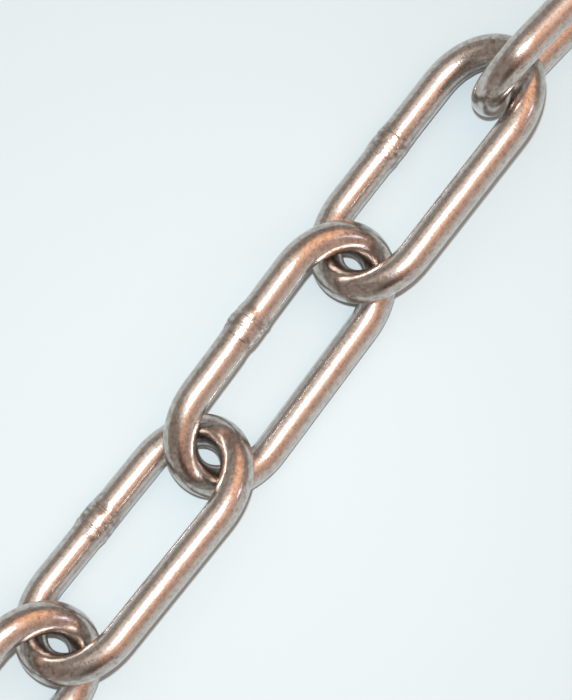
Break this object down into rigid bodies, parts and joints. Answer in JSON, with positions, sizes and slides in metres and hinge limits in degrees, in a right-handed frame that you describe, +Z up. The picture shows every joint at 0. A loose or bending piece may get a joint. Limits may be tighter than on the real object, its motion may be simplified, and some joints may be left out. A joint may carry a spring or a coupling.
{
  "type": "long-link chain",
  "caption": "Straight run of welded long-link chain in bright round steel wire, laid on a level floor with its links leaning left and right by turns; the links swing and lift.",
  "frame": {"origin": "under the middle of the chain as laid, on the floor", "axes": "+X along the chain, +Y to its left, +Z up"},
  "size_m": [0.9806, 0.0274, 0.0237],
  "materials": {
    "steel": "polished"
  },
  "bodies": {
    "link_01": {"link_01": "steel"},
    "link_02": {"link_02": "steel"},
    "link_03": {"link_03": "steel"},
    "link_04": {"link_04": "steel"},
    "link_05": {"link_05": "steel"},
    "link_06": {"link_06": "steel"},
    "link_07": {"link_07": "steel"},
    "link_08": {"link_08": "steel"},
    "link_09": {"link_09": "steel"},
    "link_10": {"link_10": "steel"},
    "link_11": {"link_11": "steel"},
    "link_12": {"link_12": "steel"},
    "link_13": {"link_13": "steel"},
    "link_14": {"link_14": "steel"},
    "link_15": {"link_15": "steel"},
    "link_16": {"link_16": "steel"},
    "link_17": {"link_17": "steel"},
    "link_18": {"link_18": "steel"},
    "link_19": {"link_19": "steel"},
    "link_20": {"link_20": "steel"},
    "link_21": {"link_21": "steel"},
    "link_22": {"link_22": "steel"},
    "link_23": {"link_23": "steel"},
    "link_24": {"link_24": "steel"}
  },
  "joints": [
    {"name": "swing_11_12", "type": "hinge", "parent": "link_12", "child": "link_11", "pos_m": [-0.03866, 0.00162, 0.00742], "axis": [0, 0, 1], "range_deg": [-10, 10]},
    {"name": "lift_10_11", "type": "hinge", "parent": "link_11", "child": "link_10", "pos_m": [-0.07905, 0.00183, 0.00742], "axis": [0.0052, 1, 0], "range_deg": [0, 20]},
    {"name": "swing_09_10", "type": "hinge", "parent": "link_10", "child": "link_09", "pos_m": [-0.11944, 0.0026, 0.00742], "axis": [0, 0, -1], "range_deg": [-10, 10]},
    {"name": "lift_08_09", "type": "hinge", "parent": "link_09", "child": "link_08", "pos_m": [-0.15987, 0.00205, 0.00742], "axis": [-0.0138, 0.9999, 0], "range_deg": [0, 20]},
    {"name": "swing_07_08", "type": "hinge", "parent": "link_08", "child": "link_07", "pos_m": [-0.20035, 0.00163, 0.00742], "axis": [0, 0, 1], "range_deg": [-10, 10]},
    {"name": "lift_06_07", "type": "hinge", "parent": "link_07", "child": "link_06", "pos_m": [-0.24082, 0.00166, 0.00742], "axis": [0.0007, 1, 0], "range_deg": [0, 20]},
    {"name": "swing_05_06", "type": "hinge", "parent": "link_06", "child": "link_05", "pos_m": [-0.28131, 0.00211, 0.00742], "axis": [0, 0, -1], "range_deg": [-10, 10]},
    {"name": "lift_04_05", "type": "hinge", "parent": "link_05", "child": "link_04", "pos_m": [-0.3218, 0.00266, 0.00742], "axis": [0.0135, 0.9999, 0], "range_deg": [0, 20]},
    {"name": "swing_03_04", "type": "hinge", "parent": "link_04", "child": "link_03", "pos_m": [-0.36227, 0.00289, 0.00742], "axis": [0, 0, 1], "range_deg": [-10, 10]},
    {"name": "lift_02_03", "type": "hinge", "parent": "link_03", "child": "link_02", "pos_m": [-0.40274, 0.00263, 0.00742], "axis": [-0.0063, 1, 0], "range_deg": [0, 20]},
    {"name": "swing_01_02", "type": "hinge", "parent": "link_02", "child": "link_01", "pos_m": [-0.44323, 0.00208, 0.00742], "axis": [0, 0, -1], "range_deg": [-10, 10]},
    {"name": "lift_12_13", "type": "hinge", "parent": "link_12", "child": "link_13", "pos_m": [0.00186, 0.00296, 0.0079], "axis": [0.0332, -0.9995, 0], "range_deg": [0, 15]},
    {"name": "swing_13_14", "type": "hinge", "parent": "link_13", "child": "link_14", "pos_m": [0.04196, 0.00338, 0.0101], "axis": [0, 0, 1], "range_deg": [-10, 4]},
    {"name": "swing_14_15", "type": "hinge", "parent": "link_14", "child": "link_15", "pos_m": [0.08117, -0.00156, 0.01016], "axis": [0, 0, -1], "range_deg": [-10, 10]},
    {"name": "lift_15_16", "type": "hinge", "parent": "link_15", "child": "link_16", "pos_m": [0.12038, -0.00327, 0.00796], "axis": [-0.0436, -0.999, 0], "range_deg": [0, 10]},
    {"name": "swing_16_17", "type": "hinge", "parent": "link_16", "child": "link_17", "pos_m": [0.16008, -0.00271, 0.00742], "axis": [0, 0, 1], "range_deg": [-10, 10]},
    {"name": "lift_17_18", "type": "hinge", "parent": "link_17", "child": "link_18", "pos_m": [0.20042, -0.0013, 0.00742], "axis": [0.0349, -0.9994, 0], "range_deg": [0, 20]},
    {"name": "swing_18_19", "type": "hinge", "parent": "link_18", "child": "link_19", "pos_m": [0.24082, -0.00148, 0.00742], "axis": [0, 0, -1], "range_deg": [-10, 10]},
    {"name": "lift_19_20", "type": "hinge", "parent": "link_19", "child": "link_20", "pos_m": [0.28132, -0.00201, 0.00742], "axis": [-0.013, -0.9999, 0], "range_deg": [0, 20]},
    {"name": "swing_20_21", "type": "hinge", "parent": "link_20", "child": "link_21", "pos_m": [0.32181, -0.0025, 0.00742], "axis": [0, 0, 1], "range_deg": [-10, 10]},
    {"name": "lift_21_22", "type": "hinge", "parent": "link_21", "child": "link_22", "pos_m": [0.36228, -0.00259, 0.00742], "axis": [-0.0022, -1, 0], "range_deg": [0, 20]},
    {"name": "swing_22_23", "type": "hinge", "parent": "link_22", "child": "link_23", "pos_m": [0.40275, -0.00221, 0.00742], "axis": [0, 0, -1], "range_deg": [-10, 10]},
    {"name": "lift_23_24", "type": "hinge", "parent": "link_23", "child": "link_24", "pos_m": [0.44325, -0.00164, 0.00742], "axis": [0.0139, -0.9999, 0], "range_deg": [0, 20]}
  ]
}
